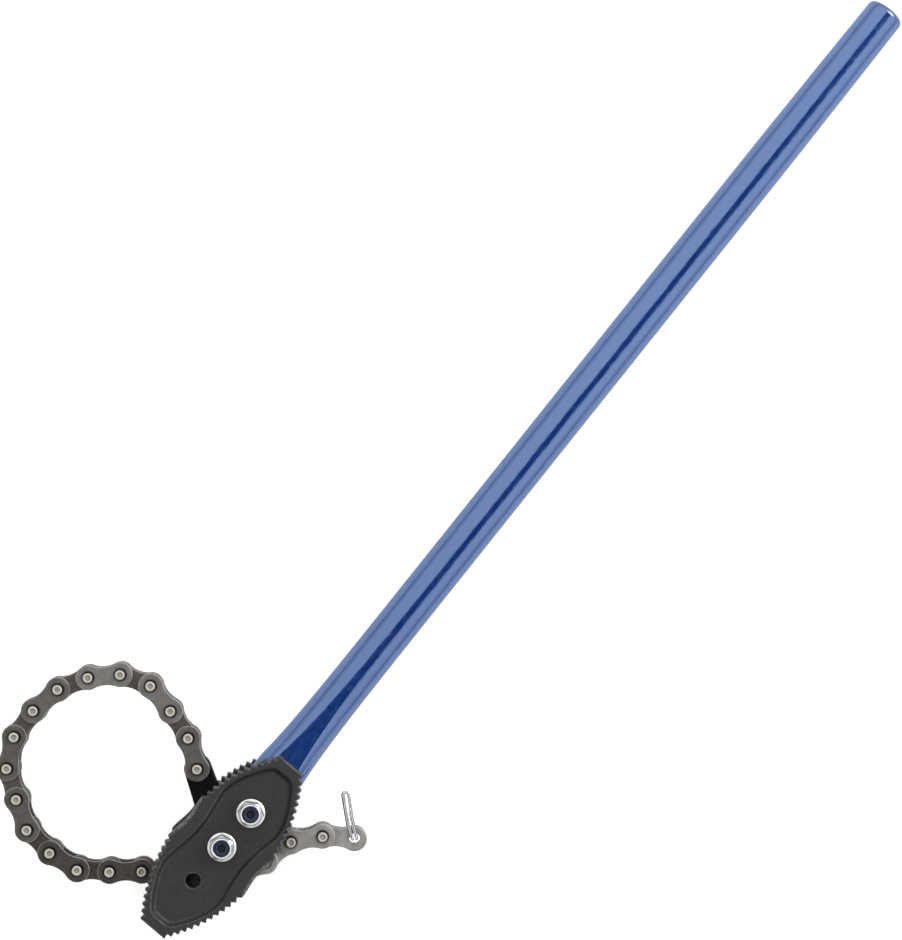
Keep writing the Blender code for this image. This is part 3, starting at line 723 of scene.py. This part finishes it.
def jaw_mesh():
    """A jaw plate with bevelled teeth, a sunk panel and three bolt holes."""
    shell = Shell()
    inner, outer = JAW_LEVELS
    floor = outer - PANEL_DEPTH
    crest, depth = jaw_outline()
    inwards = inward(crest)

    def outline(inset):
        return crest + inwards * (inset + depth)[:, None]

    waist = np.clip((TOOTH_START - np.abs(crest[:, 0])) / WAIST_BEVEL_RUN, 0.0, 1.0)
    bevel = FACE_BEVEL + (WAIST_BEVEL - FACE_BEVEL) * waist
    side = [
        (outline(BACK_BEVEL + 1.0 * MM), inner, 0.0),
        (outline(BACK_BEVEL), inner, 0.3),
        (outline(0.0), inner + BACK_BEVEL, 0.6),
        (outline(0.0), (inner + outer) / 2, 0.35),
        (outline(0.0), outer - 0.8 * FACE_BEVEL, 0.8 + 0.5 * waist),
        (outline(bevel * 0.35), outer - 0.4 * FACE_BEVEL, 1.0 + 0.6 * waist),
        (outline(bevel), outer, 0.7 + 0.4 * waist),
        (outline(bevel + 0.7 * MM), outer, 0.0),
    ]
    side = [shell.ring(*ring) for ring in side]
    shell.wall(side)
    lip = np.array(panel_outline())
    lip_inwards = inward(lip)
    bend = 0.55 * MM
    # How far each point of the panel's wall faces the painted light's heading
    facing_painted_light = lip_inwards @ np.array([math.cos(PAINTED_LIGHT_HEADING - JAW_TILT), math.sin(PAINTED_LIGHT_HEADING - JAW_TILT)])
    # Inset, drop, painted light and shade, and how much lighter it grows where the wall faces the painted
    # light's heading: painted highlights on the lip and at the wall's foot, painted shade down the wall
    slope = [
        (-0.9 * MM, 0.0, 0.0, 0.0), (-0.25 * MM, 0.0, 0.15, 0.45), (0.12 * MM, 0.07 * MM, 0.35, 0.75),
        (0.12 * MM + bend * 0.6, bend * 0.55, -0.5, 0.25),
        (PANEL_WALL_RUN - bend * 0.9, PANEL_DEPTH - bend * 0.55, -0.75, 0.15),
        (PANEL_WALL_RUN - bend * 0.1, PANEL_DEPTH - 0.12 * MM, -0.2, 0.9),
        (PANEL_WALL_RUN + 0.4 * MM, PANEL_DEPTH, 0.0, 0.5),
        (PANEL_WALL_RUN + 1.2 * MM, PANEL_DEPTH, 0.0, 0.0),
    ]
    wall = [
        shell.ring(lip + lip_inwards * inset, outer - drop, wear_and_painted_light_value + share * facing_painted_light)
        for inset, drop, wear_and_painted_light_value, share in slope
    ]
    shell.wall(wall)
    shell.cap(side[-1], wall[0])
    holes = []
    for spot in (-BOLT_SPACING, 0.0, BOLT_SPACING):
        hole = circle(BOLT_HOLE_RADIUS, 48, (spot, 0.0))
        outwards = -inward(hole)
        chamfer = 0.35 * MM
        rings = [
            (np.array(hole) + outwards * (chamfer + 0.5 * MM), inner, 0.0),
            (np.array(hole) + outwards * chamfer, inner, 0.5), (np.array(hole), inner + chamfer, 0.4),
            (np.array(hole), floor - chamfer, 0.4), (np.array(hole) + outwards * chamfer, floor, 0.6),
            (np.array(hole) + outwards * (chamfer + 0.5 * MM), floor, 0.0),
        ]
        rings = [shell.ring(*ring) for ring in rings]
        shell.wall(rings)
        holes.append(rings)
    shell.cap(side[0], *[rings[0] for rings in holes])
    shell.cap(wall[-1], *[rings[-1] for rings in holes])
    return shell.finish("jaw")


# Bolts and nuts

def hexagon(radius_flats, sides):
    """Radius of a hexagon in the direction of each of the sides, corners among them."""
    radii = []
    for step in range(sides):
        turn = 2 * math.pi * step / sides
        radii.append(radius_flats / math.cos((turn + math.pi / 6) % (math.pi / 3) - math.pi / 6))
    return np.array(radii)


def hex_ring(shell, radii, heights, wear=0.0):
    """A ring whose radius and height follow the hexagon."""
    sides = len(radii)
    heights = np.broadcast_to(heights, (sides,))
    points = []
    for step in range(sides):
        turn = 2 * math.pi * step / sides
        points.append((radii[step] * math.cos(turn), radii[step] * math.sin(turn), heights[step]))
    return shell.ring(points, wear=wear)


def nut_mesh():
    """A flange nut: sloped flange, hexagon with chamfered corners and a rolled collar."""
    shell = Shell()
    seat, top = NUT_LEVELS
    radii = hexagon(HEX_HALF_WIDTH, NUT_SIDES)
    shoulder = seat + 6.8 * MM

    def plain(radius):
        return np.full(NUT_SIDES, radius)

    def cone(radius):
        return seat + 1.15 * MM + (8.25 * MM - radius) * 0.42

    chamfer = shoulder - np.maximum(radii - 6.7 * MM, 0.0) * 0.75
    # The last value of a ring is painted light: highlights on the flange's top, the rolled collar and its
    # lip, painted shade on the flange's edge, the hexagon and the shoulder
    rings = [
        hex_ring(shell, plain(4.3 * MM), seat), hex_ring(shell, plain(8.2 * MM), seat),
        hex_ring(shell, plain(8.52 * MM), seat + 0.25 * MM, -0.8),
        hex_ring(shell, plain(8.6 * MM), seat + 0.6 * MM, -0.8),
        hex_ring(shell, plain(8.5 * MM), seat + 0.95 * MM, -0.4),
        hex_ring(shell, plain(8.2 * MM), seat + 1.17 * MM, 0.6),
        hex_ring(shell, radii + 0.3 * MM, cone(radii + 0.3 * MM), -0.3),
        hex_ring(shell, radii, cone(radii) + 0.35 * MM, -0.8),
        hex_ring(shell, radii, chamfer - 0.12 * MM, -0.5),
        hex_ring(shell, radii - 0.12 * MM, chamfer, 0.1),
        hex_ring(shell, plain(6.35 * MM), shoulder + 0.02 * MM, -0.4),
        hex_ring(shell, plain(6.1 * MM), shoulder + 0.2 * MM, -0.6),
        hex_ring(shell, plain(6.0 * MM), shoulder + 0.6 * MM, -0.3),
        hex_ring(shell, plain(COLLAR_RADIUS), top - 1.0 * MM, 0.6),
    ]
    for turn in (15, 35, 55, 75, 90, 115, 145):
        angle = math.radians(turn)
        radius = COLLAR_RADIUS - COLLAR_ROLL + COLLAR_ROLL * math.cos(angle)
        height = top - COLLAR_ROLL + COLLAR_ROLL * math.sin(angle)
        rings.append(hex_ring(shell, plain(radius), height, 1.0))
    rings.append(hex_ring(shell, plain(4.95 * MM), top - 0.55 * MM, 0.8))
    rings.append(hex_ring(shell, plain(4.93 * MM), INSERT_LEVELS[0] - GAP))
    rings.append(hex_ring(shell, plain(4.3 * MM), INSERT_LEVELS[0] - GAP))
    shell.wall(rings)
    shell.bridge(rings[-1], rings[0])
    return shell.finish("nut")


def insert_mesh():
    """The nylon ring, with a rounded inner lip."""
    shell = Shell()
    low, top = INSERT_LEVELS
    top -= 0.35 * MM
    profile = [
        (low, 3.3 * MM), (low, 4.8 * MM), (top - 0.15 * MM, 4.8 * MM), (top, 4.6 * MM), (top, 3.5 * MM),
        (top - 0.1 * MM, 2.9 * MM), (top - 0.35 * MM, 2.5 * MM), (top - 0.7 * MM, 2.4 * MM),
        (top - 0.85 * MM, 2.6 * MM), (top - 0.85 * MM, 3.3 * MM),
    ]
    add_ring(shell, profile, 64)
    return shell.finish("nylon ring")


def bolt_mesh():
    """A hexagon bolt: chamfered head below, shank and chamfered end above."""
    shell = Shell()
    low, high = levels("centre_bolt")
    head_top = low + 5.3 * MM
    radii = hexagon(HEX_HALF_WIDTH, NUT_SIDES)
    chamfer = low + np.maximum(radii - 6.3 * MM, 0.0) * 0.6

    def plain(radius):
        return np.full(NUT_SIDES, radius)

    rings = [
        hex_ring(shell, plain(5.9 * MM), low), hex_ring(shell, plain(6.2 * MM), low + 0.03 * MM),
        hex_ring(shell, radii - 0.1 * MM, chamfer + 0.05 * MM), hex_ring(shell, radii, chamfer + 0.25 * MM),
        hex_ring(shell, radii, head_top - 0.15 * MM), hex_ring(shell, radii - 0.15 * MM, head_top),
        hex_ring(shell, plain(4.0 * MM), head_top),
        hex_ring(shell, plain(4.0 * MM), INSERT_LEVELS[0] - 2 * GAP),
        hex_ring(shell, plain(3.0 * MM), INSERT_LEVELS[0] - 2 * GAP + 0.3 * MM),
        hex_ring(shell, plain(3.0 * MM), high - 0.9 * MM),
        hex_ring(shell, plain(2.2 * MM), high - 0.45 * MM),
        hex_ring(shell, plain(2.0 * MM), high - 0.4 * MM),
    ]
    shell.wall(rings[:7])
    shell.wall(rings[6:], 1)
    shell.cap(rings[0])
    shell.cap(rings[-1], slot=1)
    return shell.finish("bolt")


# Chain

def link_outline():
    """A link plate from the origin to one pitch along +X, drawn in at its waist."""
    half = PITCH / 2
    drawn = LINK_HEAD_RADIUS - LINK_WAIST_HALF_WIDTH
    waist = (half ** 2 + LINK_WAIST_HALF_WIDTH ** 2 - LINK_HEAD_RADIUS ** 2) / (2 * drawn)
    rise = LINK_WAIST_HALF_WIDTH + waist
    meet = math.atan2(rise, half)
    near = arc(LINK_HEAD_RADIUS, meet, 2 * math.pi - meet, 44)
    far = arc(LINK_HEAD_RADIUS, meet - math.pi, math.pi - meet, 44, (PITCH, 0.0))
    below = arc(waist, math.pi - meet, meet, 12, (half, -rise))[1:-1]
    above = arc(waist, -meet, meet - math.pi, 12, (half, rise))[1:-1]
    return near + below + far + above


def link_plate(shell, low, high, hole_radius):
    """One plate of a link with its two holes, with painted shade round them where they hold pins."""
    holes = [circle(hole_radius, 40), circle(hole_radius, 40, (PITCH, 0.0))]
    # Painted shade only round the holes that hold pins
    painted_shade = 1.0 if hole_radius < BUSH_RADIUS else 0.0
    add_plate(shell, link_outline(), holes, low, high, PLATE_ROUNDING, painted_shade)


def add_pin(shell, along, phase):
    """A riveted pin, dimpled at its nut end and domed at the other."""
    top, low = PIN_END, -PIN_END
    profile = [
        (low, 0.9 * MM), (low + 0.02 * MM, 1.8 * MM), (low + 0.25 * MM, 2.6 * MM),
        (low + 0.7 * MM, 2.97 * MM), (low + 1.1 * MM, PIN_RADIUS), (top - 1.0 * MM, PIN_RADIUS),
        (top - 0.55 * MM, 2.94 * MM), (top - 0.22 * MM, 2.72 * MM), (top - 0.04 * MM, 2.4 * MM),
        (top, 2.12 * MM), (top - 0.06 * MM, 1.85 * MM), (top - 0.3 * MM, 1.6 * MM),
        (top - 0.62 * MM, 1.35 * MM), (top - 0.75 * MM, 0.9 * MM), (top - 0.8 * MM, 0.35 * MM),
    ]
    # Painted shade: a little on the domed end, full down the side, none on the rim and some in the dimple
    wear = [0.3] * 4 + [1.0, 1.0, 0.7, 0.08, 0.0, 0.0, 0.0, 0.3, 0.6, 0.5, 0.4]
    sides = 40
    rings = []
    for (height, radius), wear_and_painted_light_value in zip(profile, wear):
        points = []
        for step in range(sides):
            turn = 2 * math.pi * step / sides
            reach = min(radius * (1 + PIN_LUMPS * math.sin(3 * turn + phase)), PIN_RADIUS)
            points.append((along + reach * math.cos(turn), reach * math.sin(turn)))
        rings.append(shell.ring(points, height, wear_and_painted_light_value))
    shell.wall(rings, 1)
    shell.cap(rings[0], slot=1)
    shell.cap(rings[-1], slot=1)


def pin_link_mesh():
    """The head-side plate of an outer link with its two riveted pins."""
    shell = Shell()
    link_plate(shell, -OUTER_PLATE[1], -OUTER_PLATE[0], PIN_RADIUS + 0.02 * MM)
    add_pin(shell, 0.0, 0.4)
    add_pin(shell, PITCH, 2.1)
    return shell.finish("pin link")


def bush_link_mesh():
    """The head-side plate of an inner link with its two bushes."""
    shell = Shell()
    link_plate(shell, -INNER_PLATE[1], -INNER_PLATE[0], BUSH_RADIUS + 0.02 * MM)
    for along in (0.0, PITCH):
        edge = 0.2 * MM
        low, high = -INNER_PLATE[1], INNER_PLATE[1]
        profile = [
            (low + edge, BUSH_RADIUS), (high - edge, BUSH_RADIUS), (high, BUSH_RADIUS - edge),
            (high, BORE_RADIUS + edge), (high - edge, BORE_RADIUS), (low + edge, BORE_RADIUS),
            (low, BORE_RADIUS + edge), (low, BUSH_RADIUS - edge),
        ]
        add_ring(shell, profile, 40, (along, 0.0))
    return shell.finish("bush link")


def cover_mesh(plate, hole_radius):
    """The nut-side plate of a link."""
    shell = Shell()
    link_plate(shell, *plate, hole_radius)
    return shell.finish("cover plate")


def toned(mesh, tone):
    """A copy of a mesh with its own tone and painted shade at every point."""
    made = mesh.copy()
    values = made.attributes.new("tone", "FLOAT", "POINT")
    values.data.foreach_set("value", np.full(len(made.vertices), tone, np.float32))
    return made


def shackle_mesh():
    """The tapered shackle, its hub at the origin and its small end along +X."""
    length = math.hypot(*PINS[0][:2])
    square = math.pi / 2 - math.asin((SHACKLE_HUB_RADIUS - SHACKLE_END_RADIUS) / length)
    hub = arc(SHACKLE_HUB_RADIUS, square, 2 * math.pi - square, 56)
    end = arc(SHACKLE_END_RADIUS, -square, square, 48, (length, 0.0))
    holes = [circle(BOLT_HOLE_RADIUS - 0.2 * MM, 40), circle(BORE_RADIUS, 40, (length, 0.0))]
    shell = Shell()
    add_plate(shell, hub + end, holes, -SHACKLE_HALF, SHACKLE_HALF, SHACKLE_ROUNDING)
    return shell.finish("shackle")


# Split pin

def wire_section():
    """Section of the wire, its side towards +u a little flattened: points (u, v), and the painted shade at
    each, strongest towards ±u.
    """
    flat = 0.8
    spots = circle(1.0, 16)
    section = [(WIRE_WIDTH / 2 * min(x, flat), WIRE_THICKNESS / 2 * y) for x, y in spots]
    return section, [min(1.0, abs(x) ** 3 * 1.3) for x, y in spots]


def sway(x):
    """How far the legs bow to the side at a distance from the hole."""
    return 0.14 * x - 4.2 * x ** 2


def cotter_path():
    """Stations of the wire, each a point and the direction of its flat side."""
    front = INNER_PLATE[1] + GAP + WIRE_THICKNESS / 2
    near = (WIRE_WIDTH + GAP) / 2
    stations = []

    def leg(side, length, outwards):
        """A leg from its tip to the hole, or back again."""
        made = []
        bend = 2.2 * MM
        for step in range(13):
            x = length - (length - bend) * step / 12
            lift = 0.9 * MM * ((x / length) ** 2)
            made.append((Vector((x, side * near + sway(x), front + lift)), Vector((0.0, -side, 0.0))))
        for step in range(1, 7):
            turn = math.pi / 2 * step / 6
            x = bend * (1 - math.sin(turn))
            z = front - bend * (1 - math.cos(turn))
            made.append((Vector((x, side * near + sway(x), z)), Vector((0.0, -side, 0.0))))
        return made if outwards else list(reversed(made))

    back = -front
    radius = (EYE_WIDTH - WIRE_WIDTH) / 2
    stations += leg(1, LONG_LEG, True)
    eye_end = EYE_LENGTH - EYE_WIDTH / 2
    for step in range(1, 6):
        turn = math.pi / 2 * step / 5
        bend = 2.0 * MM
        x, z = bend * (1 - math.cos(turn)), back + bend * (1 - math.sin(turn))
        share = step / 5
        y = near + (EYE_SHIFT + radius - near) * share
        stations.append((Vector((x, y, z)), Vector((0.0, -1.0, 0.0))))
    for step in range(1, 9):
        x = 2.0 * MM + (eye_end - 2.0 * MM) * step / 8
        stations.append((Vector((x, EYE_SHIFT + radius, back)), Vector((0.0, -1.0, 0.0))))
    for step in range(1, 12):
        turn = math.pi / 2 - math.pi * step / 12
        out = Vector((math.cos(turn), math.sin(turn), 0.0))
        stations.append((Vector((eye_end, EYE_SHIFT, back)) + out * radius, -out))
    for step in range(9):
        x = eye_end + (2.0 * MM - eye_end) * step / 8
        stations.append((Vector((x, EYE_SHIFT - radius, back)), Vector((0.0, 1.0, 0.0))))
    for step in range(1, 6):
        turn = math.pi / 2 * step / 5
        bend = 2.0 * MM
        x, z = bend * (1 - math.sin(turn)), back + bend * (1 - math.cos(turn))
        y = EYE_SHIFT - radius + (-near - EYE_SHIFT + radius) * step / 5
        stations.append((Vector((x, y, z)), Vector((0.0, 1.0, 0.0))))
    stations += leg(-1, SHORT_LEG, False)
    return stations


def cotter_mesh():
    """The split pin as one wire: leg, eye and leg."""
    shell = Shell()
    stations = cotter_path()
    section, painted_side_shade = wire_section()
    rings = []
    for index, (point, flat) in enumerate(stations):
        before = stations[max(index - 1, 0)][0]
        after = stations[min(index + 1, len(stations) - 1)][0]
        along = (after - before).normalized()
        across = along.cross(flat).normalized()
        inwards = across.cross(along)
        ends = min(index, len(stations) - 1 - index)
        taper = (0.45, 0.8)[ends] if ends < 2 else 1.0
        ring = [point + inwards * (u * taper) + across * (v * taper) for u, v in section]
        # Painted shade along the wire's sides
        rings.append(shell.ring(ring, wear=painted_side_shade))
    shell.wall(rings)
    shell.cap(rings[0])
    shell.cap(rings[-1])
    return shell.finish("split pin")


# Putting the wrench together

def link_tone_and_shade(number):
    """How bright a link's plates are: varied from link to link, darker from link 12, near black on links 17
    and 18 as painted shade where they lie in the head's shadow, and pale from link 19 on.
    """
    if number >= 21:
        return 0.46
    if number >= 19:
        return 0.62
    # Painted shade: links 17 and 18 lie in the head's shadow
    if number >= 17:
        return 0.01
    if number >= 12:
        return 0.055
    if number % 2 == 0:
        return 0.10
    return 0.12 + 0.17 * math.exp(-((number - 4.4) / 1.5) ** 2 / 2)


def build_head(finish):
    """Handle, jaws, bolts and nuts."""
    here = (0.0, 0.0, MIDDLE)
    piece("handle_forging", handle_mesh(), [finish["paint"]], "root", ["handle"], here)
    jaw = jaw_mesh()
    piece("front_jaw_plate", jaw, [finish["jaw"]], "root", ["jaw_front"], here, JAW_TILT)
    piece("back_jaw_plate", jaw, [finish["jaw"]], "root", ["jaw_back"], here, JAW_TILT,
          flip=True)
    bolt, nut, insert = bolt_mesh(), nut_mesh(), insert_mesh()
    for name in ("centre", "upper"):
        spot = (*centre(name + "_nut"), MIDDLE)
        turn = math.radians(8.6 if name == "centre" else 31.0)
        piece(name + "_flange_nut", nut, [finish["zinc"]], "root", [name + "_nut"], spot, turn)
        piece(name + "_nylon_ring", insert, [finish["nylon"]], "root", [name + "_nut_insert"],
              spot)
        piece(name + "_hex_bolt", bolt, [finish["zinc"], finish["bolt"]], "root", [name + "_bolt"],
              spot)


def build_chain(finish):
    """Shackle, links and split pin."""
    heading = math.atan2(PINS[0][1], PINS[0][0])
    piece("shackle_forging", shackle_mesh(), [finish["shackle"]], "shackle", ["shackle"],
          (0.0, 0.0, MIDDLE), heading)
    pin_link, bush_link = pin_link_mesh(), bush_link_mesh()
    outer_cover = cover_mesh(OUTER_PLATE, PIN_RADIUS + GAP)
    inner_cover = cover_mesh(INNER_PLATE, BUSH_RADIUS + 0.02 * MM)
    for number in range(1, LINKS + 1):
        first, second = PINS[number - 1], PINS[number]
        turn = math.atan2(second[1] - first[1], second[0] - first[0])
        outer = number % 2 == 1
        body = f"link_{number:02d}"
        tone = link_tone_and_shade(number)
        base, cover = (pin_link, outer_cover) if outer else (bush_link, inner_cover)
        node = body + ("_pin_plate" if outer else "_bush_plate")
        label = body + ("_back_plate_and_pins" if outer else "_back_plate_and_bushes")
        piece(label, toned(base, tone), [finish["plate"], finish["pin"]], body, [node],
              first, turn)
        piece(body + "_front_plate", toned(cover, tone), [finish["plate"]], body, [body + "_cover_plate"],
              first, turn)
    piece("split_pin", cotter_mesh(), [finish["wire"]], "cotter", ["cotter"], PINS[-1],
          COTTER_HEADING, sharp=50.0)


# Studio

BOX_LEVEL = 1.2
FLOOR_SEEN = 0.6
FLOOR_MIRRORED = 0.18


def floor_glow(tree):
    """The floor's own light: full for the camera, less in reflections, none on the object."""
    path = add_node(tree, "ShaderNodeLightPath")
    glossy, through = path.outputs["Is Glossy Ray"], path.outputs["Is Transmission Ray"]
    seen = arithmetic(tree, "MULTIPLY", path.outputs["Is Camera Ray"], FLOOR_SEEN)
    mirrored = arithmetic(tree, "MULTIPLY", arithmetic(tree, "MAXIMUM", glossy, through), FLOOR_MIRRORED)
    return arithmetic(tree, "ADD", seen, mirrored)


def build_floor():
    """A white floor that keeps a faint shadow."""
    shell = Shell()
    shell.cap(shell.ring(circle(4.0, 64), 0.0))
    floor = bpy.data.objects.new("floor", shell.finish("floor"))
    bpy.context.scene.collection.objects.link(floor)
    made, tree, shader = new_material("white floor")
    set_inputs(tree, shader, {
        "Base Color": (0.9, 0.9, 0.9, 1.0), "Roughness": 0.9, "Specular IOR Level": 0.1,
        "Emission Color": (1.0, 1.0, 1.0, 1.0),
        "Emission Strength": floor_glow(tree)})
    floor.data.materials.append(made)


def build_world():
    """White for the camera. The object sees two long boxes with a dark gap between them, dimmer low down."""
    world = bpy.data.worlds.new("studio")
    bpy.context.scene.world = world
    world.use_nodes = True
    tree = world.node_tree
    background = tree.nodes["Background"]
    spot = add_node(tree, "ShaderNodeTexCoord")
    split = add_node(tree, "ShaderNodeSeparateXYZ", {"Vector": spot.outputs["Generated"]})
    side = arithmetic(tree, "ARCTAN2", split.outputs["Y"], split.outputs["Z"])
    degrees = arithmetic(tree, "MULTIPLY", side, 180.0 / math.pi)
    left = ramp(tree, degrees, 3.0, 6.0)
    right = ramp(tree, degrees, -24.0, -34.0)
    boxes = ramp(tree, arithmetic(tree, "MAXIMUM", left, right), 0.0, 1.0, 0.02, BOX_LEVEL)
    level = arithmetic(tree, "MULTIPLY", boxes, ramp(tree, split.outputs["Z"], 0.0, 0.5, 0.4, 1.12))
    level = arithmetic(tree, "MULTIPLY", level, ramp(tree, split.outputs["X"], -0.12, 0.08, 0.8, 1.08))
    path = add_node(tree, "ShaderNodeLightPath")
    shown = add_node(tree, "ShaderNodeMix", {"Factor": path.outputs["Is Camera Ray"], "A": level, "B": 1.0})
    tree.links.new(shown.outputs[0], background.inputs["Strength"])
    background.inputs["Color"].default_value = (1.0, 1.0, 1.0, 1.0)


def build_lamp():
    """A soft lamp beyond the handle's far end."""
    lamp = bpy.data.lights.new("key", "AREA")
    lamp.shape = "DISK"
    lamp.size = 1.4
    lamp.energy = 27.0
    item = bpy.data.objects.new("key", lamp)
    bpy.context.scene.collection.objects.link(item)
    item.location = (1.9, -0.6, 1.3)
    item.rotation_euler = (item.location - Vector((0.1, 0.0, 0.0))).to_track_quat("Z", "Y").to_euler()


def build_camera():
    """The photograph's view."""
    camera = bpy.data.cameras.new("camera")
    camera.lens = CAMERA_LENS
    camera.sensor_width = 36.0
    item = bpy.data.objects.new("camera", camera)
    bpy.context.scene.collection.objects.link(item)
    item.location = CAMERA_PLACE
    item.rotation_euler = CAMERA_TURN
    bpy.context.scene.camera = item


bpy.context.scene.view_settings.view_transform = "Standard"
build_camera()
finishes = {
    "paint": blue_paint(), "jaw": jaw_steel(), "shackle": shackle_steel(), "plate": chain_plate(),
    "pin": chain_pin(), "zinc": zinc(), "nylon": nylon(), "bolt": bolt_steel(), "wire": bright_wire(),
}
build_head(finishes)
build_chain(finishes)
build_floor()
build_world()
build_lamp()
